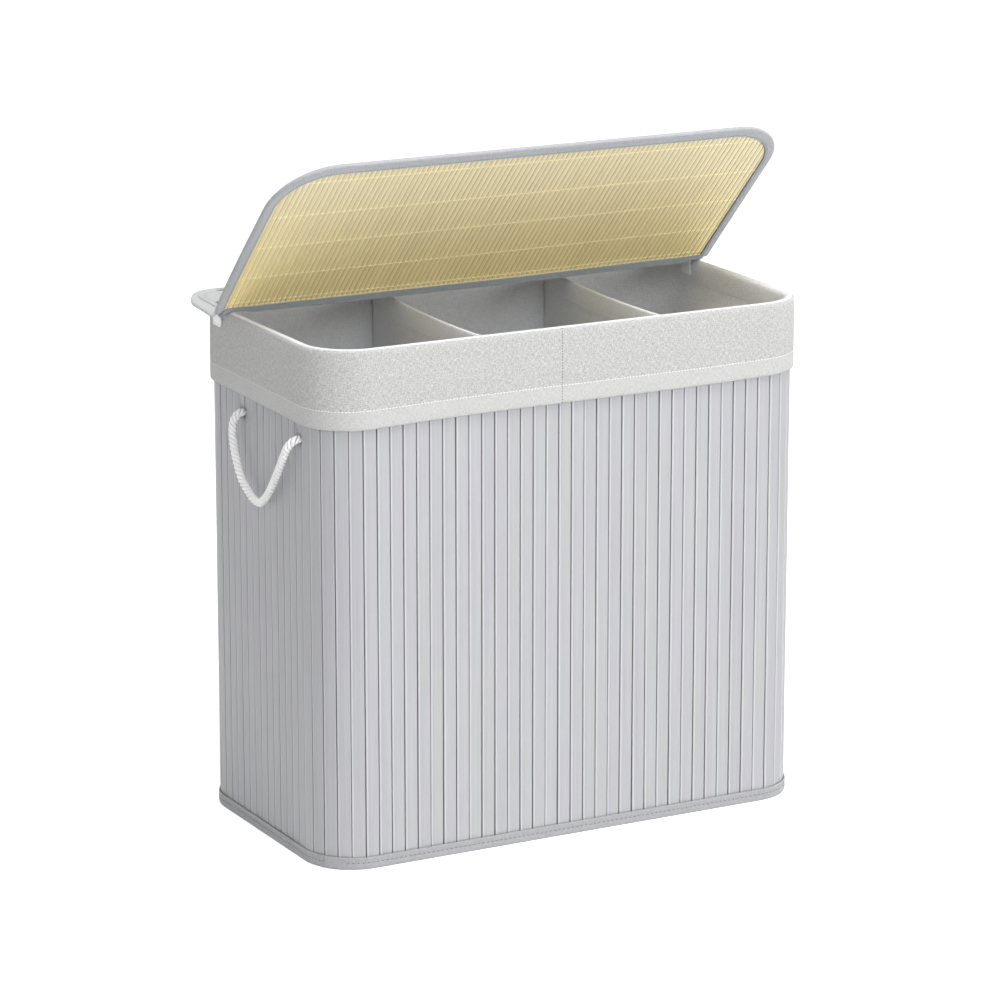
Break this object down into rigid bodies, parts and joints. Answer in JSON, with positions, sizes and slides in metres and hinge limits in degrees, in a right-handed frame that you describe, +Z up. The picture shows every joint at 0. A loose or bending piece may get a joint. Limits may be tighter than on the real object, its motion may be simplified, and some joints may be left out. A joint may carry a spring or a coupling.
{
  "type": "laundry hamper",
  "caption": "Tall slat-walled folding laundry hamper with a lift-out cloth liner in three compartments, rope handles and a creased two-panel lid that clips over the rim.",
  "frame": {"origin": "middle of the underside, on the surface that the hamper stands on, centred in the basket's width and depth", "axes": "+X to the right along the wide front, +Y from the front to the back, +Z up; the front faces -Y"},
  "size_m": [0.7019, 0.366, 0.8443],
  "materials": {
    "painted_slats": "bamboo slats with a satin pale grey paint, fine lengthways grain",
    "backing_cloth": "plain non-woven backing",
    "grey_binding": "grey woven tape, stitched",
    "spring_steel": "strip steel",
    "base_board": "pressed fibreboard",
    "hook_tape": "hook-and-loop tape",
    "rope": "white twisted cotton rope",
    "liner_cloth": "light grey polyester-linen cloth",
    "cuff_cloth": "light grey melange cloth with a stitched hem",
    "lid_mat": "natural bamboo slats woven with thread inside, pale grey paint outside",
    "lid_binding": "blue-grey woven binding",
    "clip_plastic": "off-white moulded plastic"
  },
  "bodies": {
    "basket": {"slat_wall_front": "painted_slats", "slat_wall_right": "painted_slats", "slat_wall_back": "painted_slats", "slat_wall_left": "painted_slats", "slat_corner_front_left": "painted_slats", "slat_corner_front_right": "painted_slats", "slat_corner_back_right": "painted_slats", "slat_corner_back_left": "painted_slats", "wall_backing_cloth": "backing_cloth", "rim_binding": "grey_binding", "hem_binding": "grey_binding", "base_cloth": "grey_binding", "rim_strip_front": "spring_steel", "rim_strip_back": "spring_steel", "base_board": "base_board", "hook_tape_front": "hook_tape", "hook_tape_right": "hook_tape", "hook_tape_back": "hook_tape", "hook_tape_left": "hook_tape", "rope_knot_left_back": "rope", "rope_knot_left_front": "rope", "rope_knot_right_back": "rope", "rope_knot_right_front": "rope"},
    "rope_handle_left": {"rope_handle_left": "rope"},
    "rope_handle_right": {"rope_handle_right": "rope"},
    "liner": {"liner_wall_front": "liner_cloth", "liner_wall_right": "liner_cloth", "liner_wall_back": "liner_cloth", "liner_wall_left": "liner_cloth", "liner_floor": "liner_cloth", "divider_left": "liner_cloth", "divider_right": "liner_cloth", "cuff_left": "cuff_cloth", "cuff_right": "cuff_cloth"},
    "lid_rear": {"lid_rear_mat": "lid_mat", "lid_rear_binding": "lid_binding", "lid_crease_tape": "lid_binding", "lid_clip_left": "clip_plastic", "lid_clip_right": "clip_plastic"},
    "lid_front": {"lid_front_mat": "lid_mat", "lid_front_binding": "lid_binding"}
  },
  "joints": [
    {"name": "liner_lift", "type": "slide", "parent": "basket", "child": "liner", "axis": [0, 0, 1], "range_m": [0, 0.64]},
    {"name": "lid_lift", "type": "slide", "parent": "liner", "child": "lid_rear", "axis": [0, 0, 1], "range_m": [0, 0.06]},
    {"name": "lid_hinge", "type": "hinge", "parent": "lid_rear", "child": "lid_front", "pos_m": [-0.0069, 0.085, 0.6447], "axis": [-1, 0, 0], "range_deg": [-44.7, 130]},
    {"name": "handle_left_swing", "type": "hinge", "parent": "basket", "child": "rope_handle_left", "pos_m": [-0.3384, -0.032, 0.5195], "axis": [0, 1, 0], "range_deg": [0, 150]},
    {"name": "handle_right_swing", "type": "hinge", "parent": "basket", "child": "rope_handle_right", "pos_m": [0.3384, -0.032, 0.5195], "axis": [0, -1, 0], "range_deg": [0, 150]}
  ]
}
